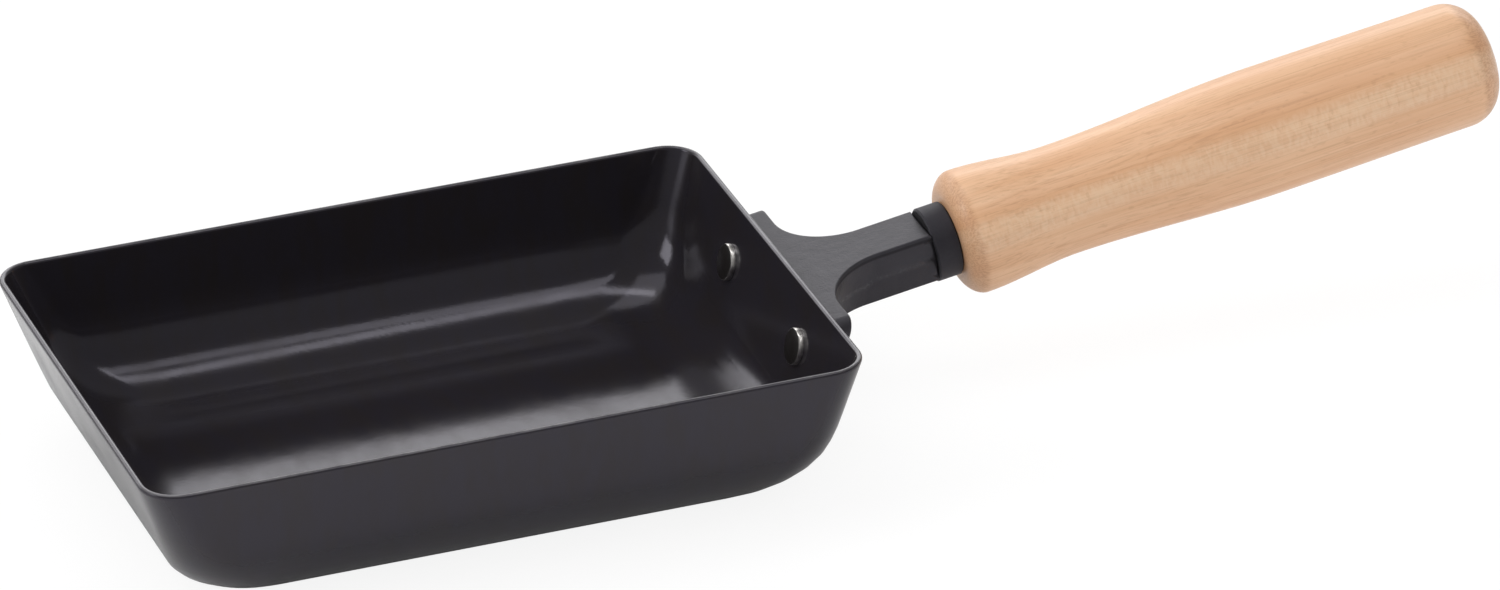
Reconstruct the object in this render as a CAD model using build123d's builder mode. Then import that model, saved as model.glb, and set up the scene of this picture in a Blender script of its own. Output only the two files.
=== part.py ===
"""Rectangular pan for rolled omelettes.

A pressed iron tray is riveted to a cast bracket. The bracket's tang passes through a
collar into a turned wooden handle, which a long bolt clamps from the butt end.

All sizes are in millimetres and degrees. The origin is the centre of the tray's outer
floor, +Z is up and the handle points along +X, rising by its tilt.
"""
import os
from math import acos, cos, degrees, radians, sin, sqrt, tan

from build123d import *

os.makedirs("parts", exist_ok=True)

# Tray, measured over its outside
rim_length = 180.0
rim_width = 130.0
tray_height = 38.3
sheet = 1.6
long_wall_flare = 3.85
far_wall_flare = 18.8
handle_wall_flare = 14.7
long_floor_radius = 23.5
end_floor_radius = 20.1
rim_corner_radius = 9.6
floor_corner_radius = 18.0
rim_outer_round = 0.5
rim_inner_round = 0.3

# Line of the handle: where it meets the plane of the rim's end, and how steeply it rises
axis_height = 26.3
handle_tilt = 9.2

# Cast bracket: flange on the tray's end wall with its foot lower than the stem's, round tang
flange_thickness = 7.7
flange_top_width = 68.4
flange_foot_width = 56.8
flange_top_corner = 3.4
flange_foot_corner = 5.0
stem_depth = 12.8
flange_drop = 3.0
underside_radius = 5.0
underside_reach = 5.0
stem_top_width = 14.3
stem_draft = 4.0
stem_reach = 37.5
root_radius = 16.0
cast_edge_round = 0.6
tang_diameter = 9.0
tang_length = 44.0
tang_tip_chamfer = 0.8

# Rivets through the end wall and the flange, a little below the handle's line
rivet_spacing = 48.0
rivet_drop = 1.5
rivet_shank = 5.0
rivet_head_diameter = 9.1
rivet_head_height = 1.3
rivet_head_bevel = 0.5
rivet_tail_diameter = 7.8
rivet_tail_height = 2.0
rivet_tail_bevel = 0.7
spot_face_diameter = 9.0
spot_face_depth = 0.5

# Collar between the stem and the wood
collar_diameter = 18.5
collar_length = 6.5
collar_chamfer = 0.45

# Turned wooden handle
grip_length = 142.2
nose_face_diameter = 21.0
nose_crown_diameter = 31.1
nose_crown_reach = 4.7
waist_diameter = 27.3
waist_reach = 29.0
belly_diameter = 31.5
belly_reach = 82.6
butt_diameter = 31.0
butt_round = 8.8

# Bolt and washer in the butt end
bolt_diameter = 5.0
bolt_grip_in_tang = 14.0
bolt_head_diameter = 8.5
bolt_head_height = 5.0
bolt_edge_chamfer = 0.4
socket_flats = 4.0
socket_depth = 2.5
washer_diameter = 10.0
washer_thickness = 1.0
counterbore_diameter = 10.6
counterbore_depth = 12.0

# Fits
slip_clearance = 0.15
seat_clearance = 0.03
end_clearance = 1.5
overrun = 5.0

# Heights of the tray's cross-sections, as shares of the long walls' floor radius and of
# the straight wall above it: close together where the wall bends, wider where it is straight
bend_shares = [0.0, 0.034, 0.134, 0.293, 0.5, 0.741]
straight_shares = [0.0, 0.25, 0.5, 0.75, 1.0]


def wall_inset(height, flare, floor_radius, skin):
    """How far a wall stands in from the rim's outline at a height, under a skin's depth."""
    lean = radians(flare)
    bend = floor_radius - skin
    if height >= floor_radius - bend * sin(lean):
        return (tray_height - height) * tan(lean) + skin / cos(lean)
    bend_centre = (tray_height - floor_radius * (1 - sin(lean))) * tan(lean) + floor_radius * cos(lean)
    return bend_centre - sqrt(max(0, bend**2 - (floor_radius - height) ** 2))


def tray_section(height, skin):
    """Rounded rectangle that the tray's surface has at a height, under a skin's depth."""
    far_end = -rim_length / 2 + wall_inset(height, far_wall_flare, end_floor_radius, skin)
    handle_end = rim_length / 2 - wall_inset(height, handle_wall_flare, end_floor_radius, skin)
    half_width = rim_width / 2 - wall_inset(height, long_wall_flare, long_floor_radius, skin)
    depth_share = (tray_height - height) / tray_height
    corner = rim_corner_radius + (floor_corner_radius - rim_corner_radius) * depth_share - skin
    with BuildSketch(Plane.XY.offset(height)) as section:
        with Locations(((far_end + handle_end) / 2, 0)):
            RectangleRounded(handle_end - far_end, 2 * half_width, corner)
    return section.sketch


def tray_heights(lowest, highest):
    """Heights of the cross-sections from the floor's surface to the rim."""
    bend_top = long_floor_radius
    bends = [lowest + (bend_top - lowest) * share for share in bend_shares]
    return bends + [bend_top + (highest - bend_top) * share for share in straight_shares]


# Frames of the handle's line and of the end wall
tilt = radians(handle_tilt)
wall_lean = radians(handle_wall_flare)
axis_direction = Vector(cos(tilt), 0, sin(tilt))
axis_origin = Vector(rim_length / 2, 0, axis_height)
stem_plane = Plane(origin=axis_origin, x_dir=axis_direction, z_dir=(-sin(tilt), 0, cos(tilt)))
profile_plane = Plane(origin=axis_origin, x_dir=axis_direction, z_dir=(0, -1, 0))
across_plane = Plane(origin=axis_origin, x_dir=(0, 1, 0), z_dir=axis_direction)
handle_axis = Axis(axis_origin, axis_direction)

# Where the wall's outer face crosses the handle's line, reckoned along that line
wall_slope = tan(tilt + wall_lean)
rim_above_axis = tray_height - axis_height
wall_on_axis = rim_above_axis * sin(tilt) - rim_above_axis * cos(tilt) * wall_slope
rivet_point = axis_origin + axis_direction * wall_on_axis
wall_plane = Plane(origin=rivet_point, x_dir=(0, 1, 0), z_dir=(cos(wall_lean), 0, -sin(wall_lean)))
wall_axis = Axis(rivet_point, wall_plane.z_dir)
lift_axis = Axis(axis_origin, stem_plane.z_dir)
rivet_centres = [(-rivet_spacing / 2, -rivet_drop), (rivet_spacing / 2, -rivet_drop)]

# Holes that the shanks and the tang pass through
rivet_hole = rivet_shank + 2 * slip_clearance
tang_hole = tang_diameter + 2 * slip_clearance
bolt_hole = bolt_diameter + 2 * slip_clearance
spot_face = flange_thickness - spot_face_depth

# Pan body
outer_sections = [tray_section(height, 0) for height in tray_heights(0, tray_height)]
inner_sections = [tray_section(height, sheet) for height in tray_heights(sheet, tray_height + overrun)]
with BuildPart() as pan_body:
    loft(sections=outer_sections)
    loft(sections=inner_sections, mode=Mode.SUBTRACT)
    rim_face = pan_body.faces().sort_by(Axis.Z)[-1]
    fillet(rim_face.outer_wire().edges(), radius=rim_outer_round)
    inner_rim_face = pan_body.faces().sort_by(Axis.Z)[-1]
    fillet(inner_rim_face.inner_wires()[0].edges(), radius=rim_inner_round)
    with BuildSketch(wall_plane.offset(overrun)):
        with Locations(*rivet_centres):
            Circle(rivet_hole / 2)
    extrude(amount=-2 * overrun, mode=Mode.SUBTRACT)

# Cast handle bracket
half_depth = stem_depth / 2
flange_foot = -half_depth - flange_drop


def bracket_section(height):
    """Outline of the bracket in a plane along the handle's line, at a height over that line."""
    flange_back = wall_on_axis + height * wall_slope - overrun
    flange_face = flange_back + overrun + flange_thickness / cos(tilt + wall_lean)
    flange_side = flange_top_width / 2 + overrun
    stem_side = stem_top_width / 2 + (half_depth - abs(height)) * tan(radians(stem_draft))
    root_x = flange_face + root_radius
    root_y = stem_side + root_radius
    with BuildSketch(stem_plane.offset(height)) as section:
        with BuildLine():
            Polyline((flange_face, -root_y), (flange_face, -flange_side), (flange_back, -flange_side))
            Line((flange_back, -flange_side), (flange_back, flange_side))
            Polyline((flange_back, flange_side), (flange_face, flange_side), (flange_face, root_y))
            CenterArc((root_x, root_y), root_radius, 180, 90)
            Line((root_x, stem_side), (stem_reach, stem_side))
            Line((stem_reach, stem_side), (stem_reach, -stem_side))
            Line((stem_reach, -stem_side), (root_x, -stem_side))
            CenterArc((root_x, -root_y), root_radius, 90, 90)
        make_face()
    return section.sketch


# Underside, where the stem's foot runs down to the deeper foot of the flange
underside_arc = degrees(acos(1 - flange_drop / underside_radius))
foot_face = wall_on_axis + flange_foot * wall_slope + flange_thickness / cos(tilt + wall_lean)
underside_toe = foot_face + underside_reach
underside_top = underside_toe + underside_radius * sin(radians(underside_arc))
underside_centre = (underside_top, -half_depth - underside_radius)

bracket_sections = [bracket_section(height) for height in (flange_foot, 0, half_depth)]
with BuildPart() as handle_bracket:
    loft(sections=bracket_sections, ruled=True)
    with BuildSketch(across_plane.offset(stem_reach)) as flange_outline:
        with BuildLine():
            Polyline(
                (-flange_top_width / 2, half_depth),
                (flange_top_width / 2, half_depth),
                (flange_foot_width / 2, flange_foot),
                (-flange_foot_width / 2, flange_foot),
                close=True,
            )
        make_face()
        fillet(flange_outline.vertices().group_by(Axis.Y)[-1], radius=flange_top_corner)
        fillet(flange_outline.vertices().group_by(Axis.Y)[0], radius=flange_foot_corner)
    extrude(amount=-2 * stem_reach, mode=Mode.INTERSECT)
    with BuildSketch(profile_plane):
        with BuildLine():
            CenterArc(underside_centre, underside_radius, 90, underside_arc)
            Polyline(
                (underside_toe, flange_foot),
                (underside_toe, flange_foot - overrun),
                (stem_reach + overrun, flange_foot - overrun),
                (stem_reach + overrun, -half_depth),
                (underside_top, -half_depth),
            )
        make_face()
    extrude(amount=flange_top_width, both=True, mode=Mode.SUBTRACT)
    split(bisect_by=wall_plane.offset(seat_clearance), keep=Keep.TOP)
    against_wall = handle_bracket.faces().sort_by(wall_axis)[0].edges()
    level_faces = handle_bracket.faces().filter_by(lift_axis).sort_by(lift_axis)
    smooth_edge = level_faces[1].edges().filter_by(Axis.Y).sort_by(handle_axis)[0]
    cast_edges = [edge for face in level_faces for edge in face.edges()]
    cast_edges = [edge for edge in cast_edges if edge not in against_wall + [smooth_edge]]
    fillet(cast_edges, radius=cast_edge_round)
    with BuildSketch(across_plane.offset(stem_reach)):
        Circle(tang_diameter / 2)
    extrude(amount=tang_length)
    chamfer(handle_bracket.faces().sort_by(handle_axis)[-1].edges(), length=tang_tip_chamfer)
    with BuildSketch(across_plane.offset(stem_reach + tang_length)):
        Circle(bolt_hole / 2)
    extrude(amount=-(bolt_grip_in_tang + end_clearance), mode=Mode.SUBTRACT)
    with BuildSketch(wall_plane):
        with Locations(*rivet_centres):
            Circle(rivet_hole / 2)
    extrude(amount=flange_thickness + overrun, mode=Mode.SUBTRACT)
    with BuildSketch(wall_plane.offset(spot_face)):
        with Locations(*rivet_centres):
            Circle(spot_face_diameter / 2)
    extrude(amount=overrun, mode=Mode.SUBTRACT)


def make_rivet(centre):
    """Flat-headed rivet with its head inside the tray and its closed tail on the flange."""
    head_seat = -(sheet + seat_clearance)
    tail_seat = spot_face + seat_clearance
    with BuildPart() as rivet:
        with BuildSketch(wall_plane.offset(head_seat)):
            with Locations(centre):
                Circle(rivet_head_diameter / 2)
        extrude(amount=-rivet_head_height)
        chamfer(rivet.faces().sort_by(wall_axis)[0].edges(), length=rivet_head_bevel)
        with BuildSketch(wall_plane.offset(tail_seat)):
            with Locations(centre):
                Circle(rivet_tail_diameter / 2)
        extrude(amount=rivet_tail_height)
        chamfer(rivet.faces().sort_by(wall_axis)[-1].edges(), length=rivet_tail_bevel)
        with BuildSketch(wall_plane.offset(head_seat)):
            with Locations(centre):
                Circle(rivet_shank / 2)
        extrude(amount=tail_seat - head_seat)
    return rivet.part


# Collar on the tang, between the stem and the wood
with BuildPart() as handle_collar:
    with BuildSketch(across_plane.offset(stem_reach + seat_clearance)):
        Circle(collar_diameter / 2)
        Circle(tang_hole / 2, mode=Mode.SUBTRACT)
    extrude(amount=collar_length - 2 * seat_clearance)
    collar_rims = handle_collar.edges().filter_by(GeomType.CIRCLE).group_by(SortBy.RADIUS)[-1]
    chamfer(collar_rims, length=collar_chamfer)

# Turned wooden handle
grip_start = stem_reach + collar_length
grip_end = grip_start + grip_length
bore_end = stem_reach + tang_length + end_clearance
counterbore_floor = grip_end - counterbore_depth
level = (1, 0)
with BuildPart() as wooden_grip:
    with BuildSketch(profile_plane):
        with BuildLine():
            nose_face = Line((grip_start, 0), (grip_start, nose_face_diameter / 2))
            crown = (grip_start + nose_crown_reach, nose_crown_diameter / 2)
            waist = (grip_start + waist_reach, waist_diameter / 2)
            belly = (grip_start + belly_reach, belly_diameter / 2)
            shoulder = (grip_end - butt_round, butt_diameter / 2)
            Spline(nose_face @ 1, crown, tangents=((0, 1), level))
            Spline(crown, waist, tangents=(level, level))
            Spline(waist, belly, tangents=(level, level))
            Spline(belly, shoulder, tangents=(level, level))
            butt_edge = (grip_end, butt_diameter / 2 - butt_round)
            CenterArc((grip_end - butt_round, butt_diameter / 2 - butt_round), butt_round, 90, -90)
            Polyline(butt_edge, (grip_end, 0), (grip_start, 0))
        make_face()
    revolve(axis=handle_axis)
    with BuildSketch(across_plane.offset(grip_start)):
        Circle(tang_hole / 2)
    extrude(amount=bore_end - grip_start, mode=Mode.SUBTRACT)
    with BuildSketch(across_plane.offset(bore_end)):
        Circle(bolt_hole / 2)
    extrude(amount=grip_length, mode=Mode.SUBTRACT)
    with BuildSketch(across_plane.offset(counterbore_floor)):
        Circle(counterbore_diameter / 2)
    extrude(amount=grip_length, mode=Mode.SUBTRACT)

# Washer and bolt in the butt end
with BuildPart() as bolt_washer:
    with BuildSketch(across_plane.offset(counterbore_floor + seat_clearance)):
        Circle(washer_diameter / 2)
        Circle(bolt_hole / 2, mode=Mode.SUBTRACT)
    extrude(amount=washer_thickness)

bolt_seat = counterbore_floor + washer_thickness + 2 * seat_clearance
bolt_tip = stem_reach + tang_length - bolt_grip_in_tang
with BuildPart() as handle_bolt:
    with BuildSketch(across_plane.offset(bolt_seat)):
        Circle(bolt_head_diameter / 2)
    extrude(amount=bolt_head_height)
    with BuildSketch(across_plane.offset(bolt_seat)):
        Circle(bolt_diameter / 2)
    extrude(amount=bolt_tip - bolt_seat)
    bolt_ends = [handle_bolt.faces().sort_by(handle_axis)[end] for end in (0, -1)]
    chamfer([edge for face in bolt_ends for edge in face.edges()], length=bolt_edge_chamfer)
    with BuildSketch(across_plane.offset(bolt_seat + bolt_head_height)):
        RegularPolygon(socket_flats / 2, side_count=6, major_radius=False)
    extrude(amount=-socket_depth, mode=Mode.SUBTRACT)

pieces = {
    "pan_body": pan_body.part,
    "handle_bracket": handle_bracket.part,
    "handle_collar": handle_collar.part,
    "wooden_grip": wooden_grip.part,
    "handle_bolt": handle_bolt.part,
    "bolt_washer": bolt_washer.part,
}
for rivet_name, rivet_centre in zip(("rivet_front", "rivet_back"), rivet_centres):
    pieces[rivet_name] = make_rivet(rivet_centre)

for name, piece in pieces.items():
    piece.label = name
    export_step(piece, f"parts/{name}.step")
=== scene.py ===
"""Studio scene of a rectangular pan for rolled omelettes.

The pan's pieces are made around its construction model, in metres and in the same frame:
the tray's outer floor rests on the ground at the origin, and the handle points along +X.
"""
from math import cos, pi, radians, sin, tan

import bmesh
import bpy
from bpy.props import FloatProperty, FloatVectorProperty, IntProperty, PointerProperty
from mathutils import Matrix, Vector


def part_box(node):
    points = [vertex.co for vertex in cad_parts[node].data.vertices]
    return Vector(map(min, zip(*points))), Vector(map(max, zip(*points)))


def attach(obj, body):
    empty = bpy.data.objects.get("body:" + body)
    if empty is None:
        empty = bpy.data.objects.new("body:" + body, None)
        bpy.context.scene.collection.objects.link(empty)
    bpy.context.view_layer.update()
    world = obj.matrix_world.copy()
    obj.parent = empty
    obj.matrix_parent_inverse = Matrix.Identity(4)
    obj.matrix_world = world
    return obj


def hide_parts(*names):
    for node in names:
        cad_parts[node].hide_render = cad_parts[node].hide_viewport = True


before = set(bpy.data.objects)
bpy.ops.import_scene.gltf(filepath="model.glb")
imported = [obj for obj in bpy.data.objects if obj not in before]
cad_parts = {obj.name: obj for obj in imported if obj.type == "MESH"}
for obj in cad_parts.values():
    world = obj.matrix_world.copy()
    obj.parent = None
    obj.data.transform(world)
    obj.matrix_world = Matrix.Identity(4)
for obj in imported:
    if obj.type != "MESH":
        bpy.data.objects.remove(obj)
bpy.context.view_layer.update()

bl_info = {
    "name": "Omelette pan",
    "version": (1, 0, 0),
    "blender": (4, 5, 0),
    "location": "3D View > Sidebar > Omelette pan",
    "description": "Rectangular iron pan with a cast bracket and a turned wooden handle",
    "category": "Object",
}


def length(name, description, millimetres):
    """Property for a length, given in millimetres."""
    return FloatProperty(
        name=name,
        description=description,
        default=millimetres / 1000,
        min=0,
        precision=4,
        unit="LENGTH",
        subtype="DISTANCE",
    )


def angle(name, description, degrees):
    """Property for an angle, given in degrees."""
    return FloatProperty(
        name=name, description=description, default=radians(degrees), unit="ROTATION", subtype="ANGLE"
    )


def number(name, description, value):
    """Property for a number of rings or steps."""
    return IntProperty(name=name, description=description, default=value, min=4)


def colour(name, description, red, green, blue):
    """Property for a linear colour."""
    return FloatVectorProperty(
        name=name,
        description=description,
        default=(red, green, blue, 1),
        min=0,
        max=1,
        size=4,
        subtype="COLOR",
    )


class PanSettings(bpy.types.PropertyGroup):
    """Sizes and colours of the pan and its studio."""

    rim_length: length("Rim length", "Outer length of the tray at its rim", 180)
    rim_width: length("Rim width", "Outer width of the tray at its rim", 130)
    tray_height: length("Tray height", "Height of the rim over the ground", 38.3)
    sheet: length("Sheet", "Thickness of the tray's iron", 1.6)
    long_wall_flare: angle("Long wall flare", "Outward lean of the two long walls", 3.85)
    far_wall_flare: angle("Far wall flare", "Outward lean of the wall far from the handle", 18.8)
    handle_wall_flare: angle("Handle wall flare", "Outward lean of the wall at the handle", 14.7)
    long_floor_radius: length("Long floor radius", "Outer radius between the floor and the long walls", 23.5)
    end_floor_radius: length("End floor radius", "Outer radius between the floor and the end walls", 20.1)
    rim_corner_radius: length("Rim corner radius", "Outer corner radius of the tray at its rim", 9.6)
    floor_corner_radius: length("Floor corner radius", "Outer corner radius of the tray at its floor", 18)
    rim_outer_round: length("Rim outer round", "Radius of the rim's outer edge", 0.8)
    rim_inner_round: length("Rim inner round", "Radius of the rim's inner edge", 0.75)
    tray_rings: number("Tray rings", "Rings in each part of the tray's profile", 10)
    tray_steps: number("Tray steps", "Steps along each side and corner", 14)

    axis_height: length("Axis height", "Height of the handle's line at the rim's end", 26.3)
    handle_tilt: angle("Handle tilt", "How steeply the handle rises", 9.2)
    stem_reach: length("Stem reach", "Where the bracket's stem ends, along the handle's line", 37.5)
    seat_gap: length("Seat gap", "Gap that keeps seated pieces apart", 0.03)
    turning_steps: number("Turning steps", "Steps round a turned piece", 96)

    rivet_spacing: length("Rivet spacing", "Distance between the two rivets", 48)
    rivet_drop: length("Rivet drop", "How far the rivets lie below the handle's line, along the wall", 1.5)
    rivet_head_diameter: length("Rivet head diameter", "Diameter of the heads inside the tray", 9.1)
    rivet_head_height: length("Rivet head height", "Height of the heads inside the tray", 1.3)
    rivet_head_edge: length("Rivet head edge", "Bevel round the heads' faces", 0.5)
    rivet_shank_diameter: length("Rivet shank diameter", "Diameter of the shanks in the wall and flange", 5)
    rivet_tail_diameter: length("Rivet tail diameter", "Diameter of the closed tails on the bracket", 7.8)
    rivet_tail_height: length("Rivet tail height", "Height of the closed tails", 2)
    rivet_tail_edge: length("Rivet tail edge", "Bevel round the tails' faces", 0.7)
    flange_thickness: length("Flange thickness", "Thickness of the bracket's flange at the rivets", 7.2)

    collar_diameter: length("Collar diameter", "Diameter of the ring before the wood", 18.5)
    collar_length: length("Collar length", "Length of the ring before the wood", 6.5)
    collar_edge: length("Collar edge", "Bevel of the ring's two edges", 0.45)
    tang_bore_diameter: length("Tang bore diameter", "Bore of the ring and wood for the tang", 9.3)
    tang_bore_reach: length("Tang bore reach", "Where that bore ends, along the handle's line", 83)

    grip_length: length("Grip length", "Length of the wooden handle", 142.2)
    nose_face_diameter: length("Nose face diameter", "Diameter of the flat face at the ring", 21)
    nose_crown_diameter: length("Nose crown diameter", "Diameter of the swell behind the ring", 31.1)
    nose_crown_reach: length("Nose crown reach", "Distance of that swell from the face", 4.7)
    waist_diameter: length("Waist diameter", "Diameter of the handle's waist", 27.3)
    waist_reach: length("Waist reach", "Distance of the waist from the face", 29)
    belly_diameter: length("Belly diameter", "Diameter of the handle's belly", 31.5)
    belly_reach: length("Belly reach", "Distance of the belly from the face", 82.6)
    butt_diameter: length("Butt diameter", "Diameter of the handle before the butt's edge", 31)
    butt_round: length("Butt round", "Radius of the butt's edge", 8.8)
    bolt_bore_diameter: length("Bolt bore diameter", "Bore of the wood for the bolt", 5.3)
    counterbore_diameter: length("Counterbore diameter", "Hole in the butt for the bolt's head", 10.6)
    counterbore_depth: length("Counterbore depth", "Depth of the hole in the butt", 12)

    coat_colour: colour("Coat colour", "Black oxide coat of the iron", 0.018, 0.016, 0.0205)
    worn_colour: colour("Worn colour", "Coat where it is thin, along the rim", 0.135, 0.13, 0.135)
    casting_colour: colour("Casting colour", "Bare casting of the bracket", 0.02, 0.019, 0.0215)
    collar_colour: colour("Collar colour", "Matt paint of the ring", 0.009, 0.0085, 0.011)
    rivet_colour: colour("Rivet colour", "Bright steel at the edge of the rivets", 0.85, 0.82, 0.79)
    steel_colour: colour("Steel colour", "Plain steel of the bolt and washer", 0.45, 0.44, 0.43)
    wood_pale: colour("Wood pale", "Faces of the rays in the mottled band", 0.83, 0.62, 0.43)
    wood_light: colour("Wood light", "Pale layers of the wood", 0.79, 0.505, 0.31)
    wood_mid: colour("Wood middle", "Browner layers of the wood", 0.69, 0.385, 0.21)
    wood_dark: colour("Wood dark", "Fibres, flecks and end grain of the wood", 0.43, 0.205, 0.095)
    ray_side: angle("Ray side", "Height on the handle's side of the band where the rays show", 19)
    floor_colour: colour("Floor colour", "Studio floor", 0.92, 0.92, 0.92)


class Wire:
    """Output of a node. It takes part in sums and products as a number does."""

    def __init__(self, tree, socket=None):
        self.tree = tree
        self.socket = socket

    def node(self, kind, settings=None, values=None, output=0):
        """Adds a node to the tree: its settings first, then the values and links of its sockets."""
        made = self.tree.nodes.new(kind)
        for name, value in (settings or {}).items():
            setattr(made, name, value)
        for key, value in (values or {}).items():
            if isinstance(value, Wire):
                self.tree.links.new(value.socket, made.inputs[key])
            else:
                made.inputs[key].default_value = value
        return Wire(self.tree, made.outputs[output] if len(made.outputs) else None)

    def output(self, name):
        """Another output of the same node."""
        return Wire(self.tree, self.socket.node.outputs[name])

    def into(self, socket):
        """Links this output to a socket of a node that is there already."""
        self.tree.links.new(self.socket, socket)

    def math(self, operation, *values, clamp=False):
        """Result of a sum, product or function of some values."""
        settings = {"operation": operation, "use_clamp": clamp}
        return self.node("ShaderNodeMath", settings, dict(enumerate(values)))

    def __add__(self, other):
        return self.math("ADD", self, other)

    def __radd__(self, other):
        return self.math("ADD", other, self)

    def __sub__(self, other):
        return self.math("SUBTRACT", self, other)

    def __rsub__(self, other):
        return self.math("SUBTRACT", other, self)

    def __mul__(self, other):
        return self.math("MULTIPLY", self, other)

    def __rmul__(self, other):
        return self.math("MULTIPLY", other, self)

    def __truediv__(self, other):
        return self.math("DIVIDE", self, other)

    def __mod__(self, other):
        return self.math("FLOORED_MODULO", self, other)

    def __gt__(self, other):
        return self.math("GREATER_THAN", self, other)

    def __abs__(self):
        return self.math("ABSOLUTE", self)

    def root(self):
        return self.math("SQRT", self)

    def sine(self):
        return self.math("SINE", self)

    def cosine(self):
        return self.math("COSINE", self)

    def tangent(self):
        return self.math("TANGENT", self)

    def whole(self):
        """The value rounded down, with a hair of tolerance for a quotient of whole numbers."""
        return self.math("FLOOR", self + 0.0001)

    def at_least(self, low):
        return self.math("MAXIMUM", self, low)

    def clamped(self):
        """The value, held between 0 and 1."""
        return self.math("ADD", self, 0.0, clamp=True)

    def ramp(self, low, high):
        """Smooth step from 0 at low to 1 at high."""
        span = {"From Min": low, "From Max": high, "Value": self}
        return self.node("ShaderNodeMapRange", {"interpolation_type": "SMOOTHSTEP"}, span)

    def pick(self, without, with_it):
        """The second number where this value is 1, and the first where it is 0."""
        return without + (with_it - without) * self

    def blend(self, first, second):
        """Colour between two, by this value."""
        return self.node("ShaderNodeMix", {"data_type": "RGBA"}, {0: self, 6: first, 7: second}, 2)

    def split(self):
        """The three coordinates of this place."""
        x = self.node("ShaderNodeSeparateXYZ", {}, {"Vector": self})
        return x, x.output("Y"), x.output("Z")

    def point(self, x=0.0, y=0.0, z=0.0):
        """Place with these coordinates."""
        return self.node("ShaderNodeCombineXYZ", {}, {"X": x, "Y": y, "Z": z})

    def noise(self, scale, detail=2.0, roughness=0.5, distortion=0.0):
        """Noise over this place; scale is in features per metre."""
        values = {"Scale": scale, "Detail": detail, "Roughness": roughness, "Distortion": distortion}
        return self.node("ShaderNodeTexNoise", {}, {"Vector": self, **values})

    def stretched(self, scale, turn=(0, 0, 0), centre=(0, 0, 0)):
        """This place from a centre, turned and then stretched along each axis."""
        values = {"Vector": self, "Location": centre, "Rotation": turn, "Scale": scale}
        return self.node("ShaderNodeMapping", {"vector_type": "TEXTURE"}, values)


# Geometry Nodes

SOCKETS = {
    float: "NodeSocketFloat",
    int: "NodeSocketInt",
    Vector: "NodeSocketVector",
    bpy.types.Material: "NodeSocketMaterial",
}
MERGE = 1e-6


def named_sizes(settings, *names):
    """Values of the named settings, under the labels that a tree's inputs have."""
    return {settings.bl_rna.properties[name].name: getattr(settings, name) for name in names}


def new_tree(name, sizes, takes_geometry=False):
    """Geometry Nodes tree with an input for each size, its group input and a wire to start from."""
    tree = bpy.data.node_groups.new(name, "GeometryNodeTree")
    tree.interface.new_socket("Geometry", in_out="OUTPUT", socket_type="NodeSocketGeometry")
    if takes_geometry:
        tree.interface.new_socket("Profile", in_out="INPUT", socket_type="NodeSocketGeometry")
    for label, value in sizes.items():
        tree.interface.new_socket(label, in_out="INPUT", socket_type=SOCKETS[type(value)])
    start = Wire(tree)
    group = start.node("NodeGroupInput")
    inputs = {socket.name: Wire(tree, socket) for socket in group.socket.node.outputs if socket.name}
    return tree, start, inputs


def close_tree(shape, material):
    """Ends a tree: instances made real and the material set."""
    real = shape.node("GeometryNodeRealizeInstances", {}, {"Geometry": shape})
    coated = shape.node("GeometryNodeSetMaterial", {}, {"Geometry": real, "Material": material})
    shape.node("NodeGroupOutput", {}, {"Geometry": coated})


def grown(name, tree, sizes, mesh=None):
    """Object whose plain mesh is what the tree makes of the sizes."""
    piece = bpy.data.objects.new(name, mesh or bpy.data.meshes.new(name))
    bpy.context.scene.collection.objects.link(piece)
    modifier = piece.modifiers.new(tree.name, "NODES")
    modifier.node_group = tree
    for socket in tree.interface.items_tree:
        if socket.in_out == "INPUT" and socket.name in sizes:
            modifier[socket.identifier] = sizes[socket.name]
    made = plain_mesh(piece)
    piece.modifiers.clear()
    piece.data = made
    return piece


def plain_mesh(piece):
    """Mesh of a piece with its modifiers worked out."""
    graph = bpy.context.evaluated_depsgraph_get()
    worked_out = piece.evaluated_get(graph)
    return bpy.data.meshes.new_from_object(worked_out, preserve_all_data_layers=True, depsgraph=graph)


def settle(mesh, sharp_from):
    """Merges loose corners, turns the faces outward and shades smooth up to an angle in degrees."""
    form = bmesh.new()
    form.from_mesh(mesh)
    bmesh.ops.remove_doubles(form, verts=form.verts, dist=MERGE)
    bmesh.ops.recalc_face_normals(form, faces=form.faces)
    form.to_mesh(mesh)
    form.free()
    mesh.shade_smooth()
    mesh.set_sharp_from_angle(angle=radians(sharp_from))


def keep_inside(mesh, nodes):
    """Draws a mesh in by the hair that it stands out of its nodes' box."""
    corners = [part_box(node) for node in nodes]
    for side in range(3):
        low = min(box[0][side] for box in corners)
        high = max(box[1][side] for box in corners)
        places = [vertex.co[side] for vertex in mesh.vertices]
        first, last = min(places), max(places)
        near, far = max(first, low), min(last, high)
        for vertex in mesh.vertices:
            vertex.co[side] = near + (vertex.co[side] - first) * (far - near) / (last - first)


def finished(piece, slot, *nodes):
    """Hands a piece over: it rides with the pan and stands for its nodes."""
    keep_inside(piece.data, nodes)
    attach(piece, "root")
    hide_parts(*nodes)


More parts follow.
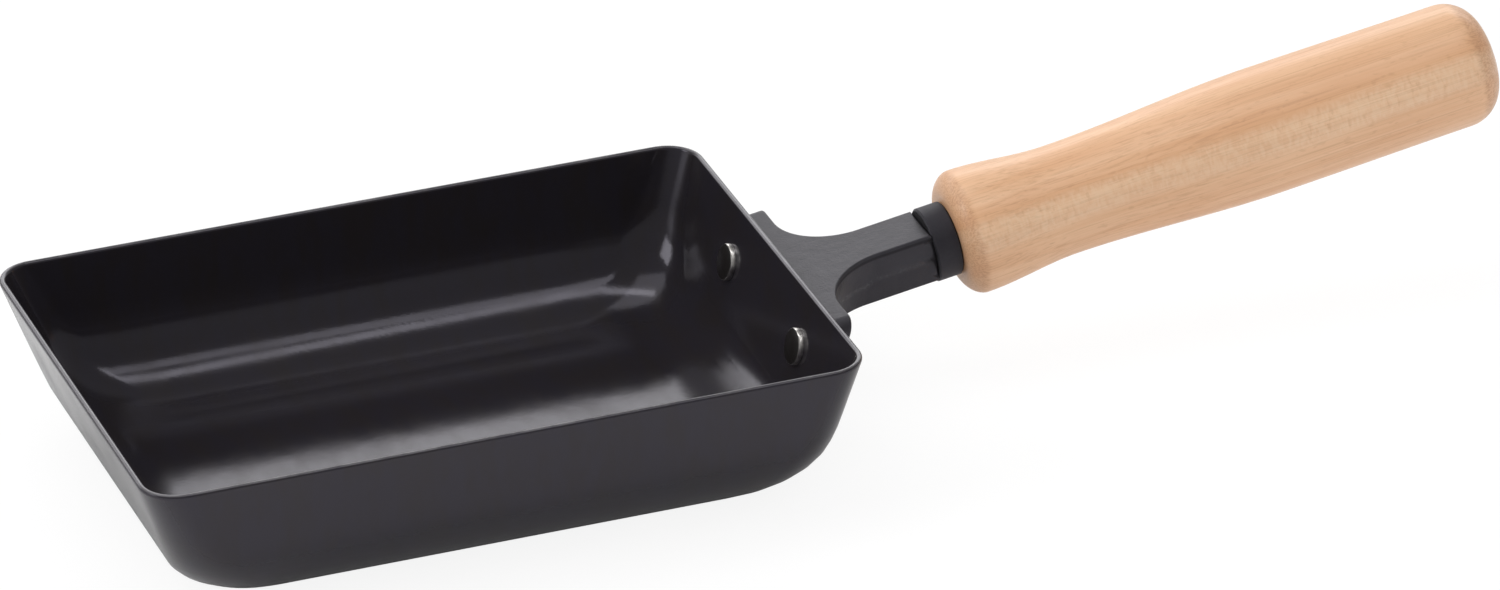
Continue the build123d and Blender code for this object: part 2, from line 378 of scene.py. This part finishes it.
def wall_inset(tray, height, flare, floor_radius, skin, side, rim_round):
    """How far a wall stands in from the rim's outline at a height; side is 1 outside and -1 inside."""
    lean_sine = flare.sine()
    lean_cosine = flare.cosine()
    lean_tangent = flare.tangent()
    top = tray["Tray height"]
    bend = floor_radius - skin
    wall = (top - height) * lean_tangent + skin / lean_cosine
    bend_centre = (top - floor_radius * (1 - lean_sine)) * lean_tangent + floor_radius * lean_cosine
    drop = floor_radius - height
    floor_bend = bend_centre - (bend * bend - drop * drop).root()
    over_centre = height - (top - rim_round)
    rim_centre = rim_round * lean_tangent + (skin + side * rim_round) / lean_cosine
    rim = rim_centre - side * (rim_round * rim_round - over_centre * over_centre).root()
    inset = (height > floor_radius - bend * lean_sine).pick(floor_bend, wall)
    return (over_centre > side * rim_round * lean_sine * -1).pick(inset, rim)


def tray_tree(sizes):
    """Rings of a rounded rectangle, from the middle of the outer floor over the rim to the inner floor.

    Outside and inside, the profile has four parts with as many rings each: floor, bend, wall and rim.
    Each ring has eight parts with as many steps each: its corners and its sides in turn.
    """
    tree, start, tray = new_tree("Tray", sizes)
    steps = tray["Tray steps"] * 8
    rings = tray["Tray rings"]
    top = tray["Tray height"]
    rows = {"Vertices X": rings * 8 + 2, "Vertices Y": steps + 1}
    index = start.node("GeometryNodeInputIndex")
    ring = (index / (steps + 1)).whole()
    along = (index % (steps + 1)) / tray["Tray steps"]

    from_top = ring - (rings * 4 + 0.5)
    inside = from_top > 0
    side = 1 - 2 * inside
    from_rim = (abs(from_top) - 0.5) / rings
    floor_share = (4 - from_rim).clamped()
    bend_share = (3 - from_rim).clamped()
    wall_share = (2 - from_rim).clamped()
    rim_share = (1 - from_rim).clamped()

    skin = tray["Sheet"] * inside
    rim_round = inside.pick(tray["Rim outer round"], tray["Rim inner round"])
    bend_top = tray["Long floor radius"]
    bend = (bend_top - skin) * (1 - (bend_share * (pi / 2)).cosine())
    wall = (top - 2 * rim_round - bend_top) * wall_share
    height = skin + bend + wall + 2 * rim_round * (rim_share * (pi / 2)).sine()

    end_radius = tray["End floor radius"]
    far = wall_inset(tray, height, tray["Far wall flare"], end_radius, skin, side, rim_round)
    near = wall_inset(tray, height, tray["Handle wall flare"], end_radius, skin, side, rim_round)
    beside = wall_inset(tray, height, tray["Long wall flare"], bend_top, skin, side, rim_round)
    half_length = (tray["Rim length"] - far - near) / 2
    half_width = tray["Rim width"] / 2 - beside
    over_centre = (height - (top - rim_round)).at_least(0.0)
    rounding = side * (rim_round - (rim_round * rim_round - over_centre * over_centre).root())
    corner_growth = tray["Floor corner radius"] - tray["Rim corner radius"]
    corner = tray["Rim corner radius"] + corner_growth * (top - height) / top - skin - rounding

    corners_passed = along.clamped() + (along - 2).clamped() + (along - 4).clamped() + (along - 6).clamped()
    turn = corners_passed * (pi / 2)
    corner_x = 1 - 2 * (along - 1).clamped() + 2 * (along - 5).clamped()
    corner_y = 1 - 2 * (along - 3).clamped() + 2 * (along - 7).clamped()
    x = (corner_x * (half_length - corner) + corner * turn.cosine()) * floor_share + (far - near) / 2
    y = (corner_y * (half_width - corner) + corner * turn.sine()) * floor_share

    grid = start.node("GeometryNodeMeshGrid", {}, rows)
    form = {"Geometry": grid, "Position": start.point(x, y, height)}
    shaped = start.node("GeometryNodeSetPosition", {}, form)
    kept = {"Geometry": shaped, "Name": "inside", "Value": inside}
    marked = start.node("GeometryNodeStoreNamedAttribute", {"data_type": "FLOAT", "domain": "POINT"}, kept)
    joined = start.node("GeometryNodeMergeByDistance", {}, {"Geometry": marked, "Distance": MERGE})
    close_tree(joined, tray["Material"])
    return tree


def turned_tree(sizes):
    """Turns a profile round its line, repeats it across the line and lays it on the handle or the wall."""
    tree, start, turned = new_tree("Turned piece", sizes, takes_geometry=True)
    steps = turned["Turning steps"] + 1
    size = {"Geometry": turned["Profile"]}
    count = start.node("GeometryNodeAttributeDomainSize", {"component": "MESH"}, size)
    index = start.node("GeometryNodeInputIndex")
    row = (index / steps).whole()
    turn = (index % steps) * (2 * pi) / turned["Turning steps"]
    position = start.node("GeometryNodeInputPosition")
    sampling = {"data_type": "FLOAT_VECTOR", "domain": "POINT"}
    of_row = {"Geometry": turned["Profile"], "Value": position, "Index": row}
    distance, radius, _ = start.node("GeometryNodeSampleIndex", sampling, of_row).split()
    place = start.point(distance, radius * turn.cosine(), radius * turn.sine())
    grid = start.node("GeometryNodeMeshGrid", {}, {"Vertices X": count, "Vertices Y": steps})
    form = {"Geometry": grid, "Position": place}
    shaped = start.node("GeometryNodeSetPosition", {}, form)
    joined = start.node("GeometryNodeMergeByDistance", {}, {"Geometry": shaped, "Distance": MERGE})
    first = start.point(y=turned["Spacing"] * (1 - turned["Copies"]) / 2)
    across = {"Count": turned["Copies"], "Start Location": first, "Offset": start.point(y=turned["Spacing"])}
    line = start.node("GeometryNodeMeshLine", {}, across)
    copies = start.node("GeometryNodeInstanceOnPoints", {}, {"Points": line, "Instance": joined})
    rise = start.point(y=turned["Rise"] * -1)
    laid = {"Geometry": copies, "Translation": turned["Place"], "Rotation": rise}
    close_tree(start.node("GeometryNodeTransform", {}, laid), turned["Material"])
    return tree


def turned_piece(name, profile, settings, place, rise, material, copies=1, spacing=0.0):
    """Piece turned from a profile of distances along its line and radii."""
    mesh = bpy.data.meshes.new(name)
    mesh.from_pydata([(distance, radius, 0) for distance, radius in profile], [], [])
    sizes = named_sizes(settings, "turning_steps")
    sizes |= {"Copies": copies, "Spacing": spacing, "Place": place, "Rise": rise, "Material": material}
    piece = grown(name, turned_tree(sizes), sizes, mesh)
    settle(piece.data, 30)
    return piece


def handle_line(settings):
    """Point where the handle's line meets the plane of the rim's end, and its direction."""
    tilt = settings.handle_tilt
    return Vector((settings.rim_length / 2, 0, settings.axis_height)), Vector((cos(tilt), 0, sin(tilt)))


def rivet_line(settings):
    """Point of the end wall's outer face midway between the rivets."""
    origin, direction = handle_line(settings)
    tilt, flare = settings.handle_tilt, settings.handle_wall_flare
    drop = settings.tray_height - settings.axis_height
    on_line = origin + direction * drop * (sin(tilt) - cos(tilt) * tan(tilt + flare))
    return on_line - Vector((sin(flare), 0, cos(flare))) * settings.rivet_drop


def run(start, end, start_slope, end_slope, count=12):
    """Points of a smooth run between two profile points that leaves and arrives along given directions."""
    start, end = Vector(start), Vector(end)
    chord = (end - start).length
    points = []
    for step in range(count):
        t = step / count
        towards = 3 * t**2 - 2 * t**3
        leaving = t**3 - 2 * t**2 + t
        arriving = t**3 - t**2
        pull = Vector(start_slope) * chord * leaving + Vector(end_slope) * chord * arriving
        points.append(start + (end - start) * towards + pull)
    return points


# Materials

COOL = (0.9, 0.87, 1, 1)  # tint of what a dark surface mirrors
BROWN_COAT = (0.018, 0.0145, 0.012, 1)
DARK_CASTING = (0.013, 0.0115, 0.0125, 1)
# Painted shade over the casting's lower facet, below its seam
PAINTED_SHADE_CASTING = (0.007, 0.0055, 0.006, 1)
# Bright grey of the casting's seam, partly a painted highlight on its ridge
FLASH_AND_HIGHLIGHT = (0.42, 0.41, 0.4, 1)
# Black of painted shade, on the casting's top edges and on the ring's end face
PAINTED_SHADE_BLACK = (0.004, 0.004, 0.004, 1)
PAINT_DUST = (0.02, 0.02, 0.021, 1)
DULL_RIVET = (0.3, 0.28, 0.26, 1)
RIVET_COAT = (0.009, 0.0075, 0.007, 1)


def new_material(name, **fixed):
    """Material with its shader, the fixed inputs set, and a wire to start from."""
    material = bpy.data.materials.new(name)
    material.use_nodes = True
    shader = material.node_tree.nodes["Principled BSDF"]
    for label, value in fixed.items():
        shader.inputs[label.replace("_", " ")].default_value = value
    start = Wire(material.node_tree)
    return material, shader.inputs, start, start.node("ShaderNodeTexCoord", output="Object")


def relief(height, depth, under=None, share=1.0):
    """Normal of a surface whose height goes from 0 to 1 over a depth in metres, in full or by a share."""
    values = {"Height": height, "Distance": depth, "Strength": share}
    if under:
        values["Normal"] = under
    return height.node("ShaderNodeBump", {}, values)


def along_handle(settings, place):
    """Place on the handle: distance along its line, across it and over it."""
    origin, _ = handle_line(settings)
    return place.stretched((1, 1, 1), (0, -settings.handle_tilt, 0), origin)


def coated_iron(settings):
    """Black oxide coat: thin along the rim, smoother inside, and slightly dished over the floor."""
    material, shader, start, place = new_material("Black coat", IOR=1.45, Specular_Tint=COOL)
    inside = start.node("ShaderNodeAttribute", {"attribute_name": "inside"}, output="Fac")
    x, y, height = place.split()
    cloud = place.noise(38, 3, 0.55)
    streaks = place.stretched((0.35, 1, 1)).noise(70, 4, 0.6)

    rim = (height / settings.tray_height).ramp(0.991, 0.999)
    thin = (cloud * 0.6 + streaks * 0.4).ramp(0.42, 0.62)
    coat = (streaks.ramp(0.35, 0.7) * 0.5).blend(settings.coat_colour, BROWN_COAT)
    (rim * (thin * 0.6 + 0.25)).blend(coat, settings.worn_colour).into(shader["Base Color"])
    rough = inside.pick(0.18, 0.1) + cloud.ramp(0.3, 0.7) * 0.05 + streaks.ramp(0.3, 0.75) * 0.04
    rough.into(shader["Roughness"])

    # The pressed floor isn't quite flat, and it bends more softly at the handle end
    crest, wave = 0.035, 0.14
    swell = ((y - crest) * (2 * pi / wave)).cosine() * 0.5 + 0.5
    on_floor = inside * (1 - height.ramp(0.002, 0.006))
    dish = relief(swell, 0.0022, None, on_floor)
    handle_end = inside * x.ramp(0.045, 0.058) * (1 - y.ramp(0.015, 0.035))
    bend = relief(1 - height.ramp(0.003, 0.013), 0.002, dish, handle_end)
    peel = relief(place.noise(1400, 2, 0.5), 0.00001, bend)
    relief(place.noise(160, 2, 0.5), 0.00002, peel).into(shader["Normal"])
    return material


def cast_iron(settings):
    """Bare casting: a bright parting seam along the stem, partly a painted highlight on its ridge, with
    painted shade below it and along the top edges.
    """
    material, shader, _, place = new_material("Casting", IOR=1.5, Specular_Tint=COOL)
    reach, _, over = along_handle(settings, place).split()
    seam_dip = 0.0012  # how much lower the parting seam runs near the flange
    lift = over + seam_dip * (1 - reach.ramp(0.018, 0.023))
    grain = place.noise(1500, 4, 0.7)
    lumps = place.noise(260, 3, 0.55)

    tone = (lumps.ramp(0.3, 0.7) * 0.5).blend(settings.casting_colour, DARK_CASTING)
    # Painted shade over the lower facet below the seam, fading out towards the flange
    below = (1 - lift.ramp(-0.0009, -0.0001)) * reach.ramp(0.008, 0.018)
    painted_shade = (below * 0.45).blend(tone, PAINTED_SHADE_CASTING)
    # Bright speckled seam, partly a painted highlight on its ridge that is stronger near the flange
    seam = 1 - (abs(lift) + lumps * 0.0008).ramp(0.0004, 0.0015)
    seam_flash_and_highlight = seam * grain.ramp(0.45, 0.7)
    root = 1 - reach.ramp(0.012, 0.024)
    shade_and_seam = (seam_flash_and_highlight * root.pick(0.04, 0.16)).blend(painted_shade, FLASH_AND_HIGHLIGHT)
    # Painted shade: a dark line along the stem's top edges
    edge = over.ramp(0.0048, 0.0053) * (1 - over.ramp(0.0056, 0.006)) * reach.ramp(0.006, 0.009)
    (edge * 0.6).blend(shade_and_seam, PAINTED_SHADE_BLACK).into(shader["Base Color"])
    (0.45 + edge * 0.3).into(shader["Roughness"])
    coarse = relief(lumps, 0.00012)
    relief(grain, 0.00006, coarse).into(shader["Normal"])
    return material


def ring_paint(settings):
    """Matt paint, with a little dust, and painted shade on the end face at the stem."""
    material, shader, _, place = new_material("Ring paint", IOR=1.5, Specular_Tint=COOL)
    dust = place.noise(900, 3, 0.6)
    reach, _, _ = along_handle(settings, place).split()
    # Painted shade on the end face at the stem, where the ring meets the bracket
    past_face = reach.ramp(settings.stem_reach + 0.00005, settings.stem_reach + 0.0003)
    tone = (dust.ramp(0.35, 0.7) * 0.35).blend(settings.collar_colour, PAINT_DUST)
    past_face.blend(PAINTED_SHADE_BLACK, tone).into(shader["Base Color"])
    (0.5 + dust * 0.15).into(shader["Roughness"])
    relief(dust, 0.00002).into(shader["Normal"])
    return material


def plain_steel(settings):
    """Steel of the bolt and washer, patchy from handling."""
    material, shader, _, place = new_material("Plain steel", Metallic=1.0)
    patches = place.noise(420, 3, 0.6)
    dull = [value * 0.55 for value in settings.steel_colour[:3]] + [1]
    patches.ramp(0.3, 0.7).blend(settings.steel_colour, dull).into(shader["Base Color"])
    (0.28 + patches * 0.2).into(shader["Roughness"])
    relief(place.noise(1600, 3, 0.6), 0.00001).into(shader["Normal"])
    return material


def rivet_steel(settings, origin, face):
    """Steel of the rivets: bright at the edge and coated like the tray on the face of the heads."""
    material, shader, _, place = new_material("Rivet steel")
    depth, _, _ = place.stretched((1, 1, 1), (0, settings.handle_wall_flare, 0), origin).split()
    coat = 1 - (depth + place.noise(700) * 0.0002).ramp(face + 0.00022, face + 0.00032)
    patches = place.noise(900, 3, 0.6)
    metal = (patches.ramp(0.35, 0.7) * 0.5).blend(settings.rivet_colour, DULL_RIVET)
    coat.blend(metal, RIVET_COAT).into(shader["Base Color"])
    (1 - coat).into(shader["Metallic"])
    (0.24 + patches * 0.15).into(shader["Roughness"])
    relief(patches, 0.00001).into(shader["Normal"])
    return material


def beech(settings):
    """Turned beech: growth layers, rays that show as flecks or as a mottled band, and browner end grain."""
    material, shader, _, place = new_material("Beech", IOR=1.5, Coat_Roughness=0.2)
    wood = along_handle(settings, place)
    turned = (-settings.ray_side, 0, 0)
    distance, sideways, layer = wood.stretched((1, 1, 1), turned).split()
    radius = (sideways * sideways + layer * layer).root()
    layers = wood.stretched((40, 8, 1), turned).noise(420, 3, 0.55, 0.3)
    clouds = wood.stretched((5, 2, 1), turned).noise(90, 2, 0.5)
    fibres = wood.stretched((110, 1, 1), turned).noise(2600, 3, 0.6)
    rays = wood.stretched((6, 1, 9), turned).noise(2100, 1, 0.5)
    mottles = wood.stretched((1, 0.6, 2.6), turned).noise(900, 2, 0.5, 0.3)

    level = layer / radius + clouds * 0.35
    heart = level.ramp(0.35, 0.5) * (1 - level.ramp(0.55, 0.85)) * 0.55
    paleness = (layers.ramp(0.3, 0.7) * 0.6 + clouds.ramp(0.3, 0.7) * 0.4 - heart).clamped()
    tone = paleness.blend(settings.wood_mid, settings.wood_light)
    figured = (sideways * -1 / radius + clouds * 0.06).ramp(0.98, 1.025)
    grained = (fibres.ramp(0.45, 0.7) * 0.34).blend(tone, settings.wood_dark)
    flecked = (rays.ramp(0.62, 0.72) * (1 - figured) * 0.2).blend(grained, settings.wood_dark)
    pale = (figured * mottles.ramp(0.38, 0.64).pick(0.16, 0.4)).blend(flecked, settings.wood_pale)
    ticks = (1 - mottles).ramp(0.6, 0.7) * clouds.ramp(0.4, 0.6)
    marked = (figured * ticks * 0.17).blend(pale, settings.wood_dark)

    # The grain runs out where the wood curves in towards its two faces
    nose = settings.stem_reach + settings.collar_length
    butt = nose + settings.grip_length
    past_nose = distance.ramp(nose + 0.0028, nose + 0.005)
    barrel = past_nose * (1 - distance.ramp(butt - 0.0072, butt - 0.0052))
    end_grain = (1 - barrel) * (0.3 + fibres.ramp(0.4, 0.6) * 0.22)
    end_grain.blend(marked, settings.wood_dark).into(shader["Base Color"])
    (0.4 + fibres * 0.12).into(shader["Roughness"])
    (0.2 + figured * 0.25).into(shader["Coat Weight"])
    relief(fibres, 0.000008, relief(mottles, 0.000012)).into(shader["Normal"])
    return material


# Operators


class PanTray(bpy.types.Operator):
    """Presses the iron tray."""

    bl_idname = "omelette_pan.tray"
    bl_label = "Tray"

    def execute(self, context):
        settings = context.scene.omelette_pan
        sizes = named_sizes(
            settings,
            "rim_length",
            "rim_width",
            "tray_height",
            "sheet",
            "long_wall_flare",
            "far_wall_flare",
            "handle_wall_flare",
            "long_floor_radius",
            "end_floor_radius",
            "rim_corner_radius",
            "floor_corner_radius",
            "rim_outer_round",
            "rim_inner_round",
            "tray_rings",
            "tray_steps",
        )
        sizes["Material"] = coated_iron(settings)
        piece = grown("tray", tray_tree(sizes), sizes)
        settle(piece.data, 50)
        finished(piece, "black_iron", "pan_body")
        return {"FINISHED"}


class PanRivets(bpy.types.Operator):
    """Closes the two rivets through the tray's end wall."""

    bl_idname = "omelette_pan.rivets"
    bl_label = "Rivets"

    def execute(self, context):
        settings = context.scene.omelette_pan
        head = settings.rivet_head_diameter / 2
        tail = settings.rivet_tail_diameter / 2
        shank = settings.rivet_shank_diameter / 2
        head_edge = settings.rivet_head_edge
        tail_edge = settings.rivet_tail_edge
        seat = -settings.sheet - settings.seat_gap
        face = seat - settings.rivet_head_height
        tail_seat = settings.flange_thickness + settings.seat_gap
        tail_face = tail_seat + settings.rivet_tail_height
        profile = [
            (face, 0),
            (face, head - head_edge),
            (face + 0.3 * head_edge, head - 0.4 * head_edge),
            (face + head_edge, head),
            (seat, head),
            (seat, shank),
            (tail_seat, shank),
            (tail_seat, tail),
            (tail_face - tail_edge, tail),
            (tail_face, tail - tail_edge),
            (tail_face, 0),
        ]
        place = rivet_line(settings)
        material = rivet_steel(settings, place, face)
        lean = -settings.handle_wall_flare
        piece = turned_piece("rivets", profile, settings, place, lean, material, 2, settings.rivet_spacing)
        finished(piece, "rivet_iron", "rivet_front", "rivet_back")
        return {"FINISHED"}


class PanBracket(bpy.types.Operator):
    """Fettles the cast bracket."""

    bl_idname = "omelette_pan.bracket"
    bl_label = "Bracket"

    def execute(self, context):
        settings = context.scene.omelette_pan
        piece = bpy.data.objects.new("bracket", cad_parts["handle_bracket"].data.copy())
        context.scene.collection.objects.link(piece)
        settle(piece.data, 25)
        piece.data.materials.clear()
        piece.data.materials.append(cast_iron(settings))
        weighted = piece.modifiers.new("Flat faces", "WEIGHTED_NORMAL")
        weighted.keep_sharp = True
        made = plain_mesh(piece)
        piece.modifiers.clear()
        piece.data = made
        finished(piece, "cast_bracket", "handle_bracket")
        return {"FINISHED"}


class PanCollar(bpy.types.Operator):
    """Turns the ring between the bracket and the wood."""

    bl_idname = "omelette_pan.collar"
    bl_label = "Ring"

    def execute(self, context):
        settings = context.scene.omelette_pan
        near = settings.stem_reach + settings.seat_gap
        far = near + settings.collar_length - 2 * settings.seat_gap
        rim = settings.collar_diameter / 2
        edge = settings.collar_edge
        bore = settings.tang_bore_diameter / 2
        profile = [
            (near, bore),
            (near, rim - edge),
            (near + edge, rim),
            (far - edge, rim),
            (far, rim - edge),
            (far, bore),
            (near, bore),
        ]
        origin, _ = handle_line(settings)
        material = ring_paint(settings)
        piece = turned_piece("ring", profile, settings, origin, settings.handle_tilt, material)
        finished(piece, "black_collar", "handle_collar")
        return {"FINISHED"}


class PanGrip(bpy.types.Operator):
    """Turns the wooden handle."""

    bl_idname = "omelette_pan.grip"
    bl_label = "Wooden handle"

    def execute(self, context):
        settings = context.scene.omelette_pan
        face = settings.stem_reach + settings.collar_length
        end = face + settings.grip_length
        belly = (face + settings.belly_reach, settings.belly_diameter / 2)
        butt = settings.butt_diameter / 2
        butt_round = settings.butt_round
        crown = (face + settings.nose_crown_reach, settings.nose_crown_diameter / 2)
        waist = (face + settings.waist_reach, settings.waist_diameter / 2)
        nose = (face, settings.nose_face_diameter / 2)
        tang_bore = settings.tang_bore_diameter / 2
        bolt_bore = settings.bolt_bore_diameter / 2
        counterbore = settings.counterbore_diameter / 2
        counterbore_floor = end - settings.counterbore_depth
        profile = [(face, tang_bore)]
        profile += run(nose, crown, (0, 1), (1, 0))
        profile += run(crown, waist, (1, 0), (1, 0))
        profile += run(waist, belly, (1, 0), (1, 0), 20)
        profile += run(belly, (end - butt_round, butt), (1, 0), (1, 0))
        butt_steps = 16
        for step in range(butt_steps + 1):
            turn = pi / 2 * step / butt_steps
            profile.append((end - butt_round * (1 - sin(turn)), butt - butt_round * (1 - cos(turn))))
        profile += [
            (end, counterbore),
            (counterbore_floor, counterbore),
            (counterbore_floor, bolt_bore),
            (settings.tang_bore_reach, bolt_bore),
            (settings.tang_bore_reach, tang_bore),
            (face, tang_bore),
        ]
        origin, _ = handle_line(settings)
        piece = turned_piece("handle", profile, settings, origin, settings.handle_tilt, beech(settings))
        finished(piece, "beech", "wooden_grip")
        return {"FINISHED"}


class PanBolt(bpy.types.Operator):
    """Gives the bolt and washer in the butt end their plain steel."""

    bl_idname = "omelette_pan.bolt"
    bl_label = "Bolt and washer"

    def execute(self, context):
        material = plain_steel(context.scene.omelette_pan)
        for name in ("handle_bolt", "bolt_washer"):
            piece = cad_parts[name]
            piece.data.materials.clear()
            piece.data.materials.append(material)
        return {"FINISHED"}


# Studio


def around(azimuth, elevation, distance):
    """Place round the pan: azimuth in degrees from straight behind towards the handle, and elevation."""
    azimuth, elevation = radians(azimuth), radians(elevation)
    level = Vector((sin(azimuth), cos(azimuth), 0)) * cos(elevation)
    return (level + Vector((0, 0, sin(elevation)))) * distance


# Name, place, direction of the width, width, height, level and whether the pan mirrors it.
# A level of 1 shows as white in a mirror.
LAMPS = (
    ("Left panel", around(-42, 66, 2.2), (1, 1, 0), 1.5, 1.4, 1.2, True),
    ("Side panel", around(-87, 30, 2.2), (0, 1, 0), 0.8, 0.8, 4.4, True),
    ("Left fill", around(-70, 45, 2.2), (1, 2, 0), 1.4, 1.4, 1.7, False),
    ("Front panel", around(195, 36, 2.3), (1, -0.3, 0), 1.4, 1.4, 1.6, False),
    ("Right panel", around(110, 36, 2.3), (1, 2.5, 0), 1.4, 1.4, 1.0, False),
    ("Front lamp", around(150, 58, 2.3), (1, 0.5, 0), 0.4, 0.35, 2.2, True),
    ("Overhead strip", (0.108, -0.065, 2.0), (0.67, -0.74, 0), 2.63, 0.21, 4.0, True),
)
BACKDROP_LEVEL = 3.4
FLOOR_GAP = 0.0002
PLAIN_LEVEL = 1.03  # glow of the floor to the camera alone
PLAIN_SHARE = 0.86  # how much of the floor is that glow; the rest takes the shadow
CAMERA_AZIMUTH = -19.185
CAMERA_ELEVATION = 27.296
CAMERA_ROLL = -1.51
CAMERA_LENS = 288
CAMERA_PLACE = (0.07624, 0.03902, 2.88387)  # to the right, up and back, along the camera's own axes


def lamp(name, place, long_way, width, height, level, mirrored):
    """Flat lamp that faces the pan."""
    data = bpy.data.lights.new(name, "AREA")
    data.shape = "RECTANGLE"
    data.size = width
    data.size_y = height
    data.energy = level * pi * width * height
    holder = bpy.data.objects.new(name, data)
    back = Vector(place).normalized()
    up = back.cross(Vector(long_way)).normalized()
    holder.location = place
    holder.rotation_euler = Matrix((up.cross(back), up, back)).transposed().to_euler()
    holder.visible_camera = False
    holder.visible_glossy = mirrored
    bpy.context.scene.collection.objects.link(holder)


def room():
    """Room: a pale backdrop low behind the pan and dim elsewhere. The camera sees plain white."""
    world = bpy.data.worlds.new("Room")
    bpy.context.scene.world = world
    world.use_nodes = True
    start = Wire(world.node_tree)
    right, depth, rise = start.node("ShaderNodeTexCoord", output="Generated").split()
    top_edge = (rise - right * 0.26).ramp(0.51, 0.59)
    backdrop = depth.ramp(0.45, 0.65) * rise.ramp(0.24, 0.3) * (1 - top_edge)
    left_end = (-1 * right).ramp(0.95, 0.99)
    sides = depth.ramp(-0.2, 0.4).pick(0.35, 0.6) + left_end * 0.9
    walls = (1 - rise.ramp(0.3, 0.6)).pick(0.3, sides)
    seen = start.node("ShaderNodeLightPath", output="Is Camera Ray")
    light = world.node_tree.nodes["Background"].inputs
    light["Color"].default_value = (1, 1, 1, 1)
    seen.pick(backdrop.pick(walls, BACKDROP_LEVEL), 1.0).into(light["Strength"])


def studio_floor(settings):
    """Pale floor that takes the pan's shadow and looks almost plain white to the camera."""
    bpy.ops.mesh.primitive_plane_add(size=12, location=(0, 0, -FLOOR_GAP))
    floor = bpy.context.object
    floor.name = "floor"
    material, shader, start, _ = new_material("Floor", Roughness=1.0, Specular_IOR_Level=0.0)
    shader["Base Color"].default_value = settings.floor_colour
    seen = start.node("ShaderNodeLightPath", output="Is Camera Ray")
    plain = start.node("ShaderNodeEmission", {}, {"Color": (1, 1, 1, 1), "Strength": PLAIN_LEVEL})
    nodes = material.node_tree.nodes
    surface = Wire(material.node_tree, nodes["Principled BSDF"].outputs[0])
    mixed = start.node("ShaderNodeMixShader", {}, {0: seen * PLAIN_SHARE, 1: surface, 2: plain})
    mixed.into(nodes["Material Output"].inputs["Surface"])
    floor.data.materials.append(material)


def photo_camera():
    """Camera at the photo's angle."""
    azimuth, elevation, roll = radians(CAMERA_AZIMUTH), radians(CAMERA_ELEVATION), radians(CAMERA_ROLL)
    back = Vector((sin(azimuth) * cos(elevation), -cos(azimuth) * cos(elevation), sin(elevation)))
    level_right = Vector((cos(azimuth), sin(azimuth), 0))
    level_up = back.cross(level_right)
    right = level_right * cos(roll) + level_up * sin(roll)
    up = level_up * cos(roll) - level_right * sin(roll)
    data = bpy.data.cameras.new("Camera")
    data.lens = CAMERA_LENS
    data.sensor_width = 36
    data.clip_end = 50
    camera = bpy.data.objects.new("Camera", data)
    turned = Matrix((right, up, back)).transposed()
    camera.location = turned @ Vector(CAMERA_PLACE)
    camera.rotation_euler = turned.to_euler()
    bpy.context.scene.collection.objects.link(camera)
    bpy.context.scene.camera = camera


class PanStage(bpy.types.Operator):
    """Sets the floor, the lamps and the camera."""

    bl_idname = "omelette_pan.stage"
    bl_label = "Studio"

    def execute(self, context):
        studio_floor(context.scene.omelette_pan)
        room()
        for values in LAMPS:
            lamp(*values)
        photo_camera()
        context.scene.view_settings.view_transform = "Standard"
        return {"FINISHED"}


MAKERS = (PanTray, PanRivets, PanBracket, PanCollar, PanGrip, PanBolt, PanStage)


class PanPanel(bpy.types.Panel):
    """Lists what the pan is made of, in order."""

    bl_idname = "VIEW3D_PT_omelette_pan"
    bl_label = "Omelette pan"
    bl_space_type = "VIEW_3D"
    bl_region_type = "UI"
    bl_category = "Omelette pan"

    def draw(self, context):
        for maker in MAKERS:
            self.layout.operator(maker.bl_idname)
        for name in PanSettings.__annotations__:
            self.layout.prop(context.scene.omelette_pan, name)


CLASSES = (PanSettings, *MAKERS, PanPanel)


def register():
    for cls in CLASSES:
        bpy.utils.register_class(cls)
    bpy.types.Scene.omelette_pan = PointerProperty(type=PanSettings)


def unregister():
    del bpy.types.Scene.omelette_pan
    for cls in reversed(CLASSES):
        bpy.utils.unregister_class(cls)


def main():
    """Makes the pan and its studio."""
    register()
    for maker in MAKERS:
        group, name = maker.bl_idname.split(".")
        getattr(getattr(bpy.ops, group), name)()


if __name__ == "__main__":
    main()
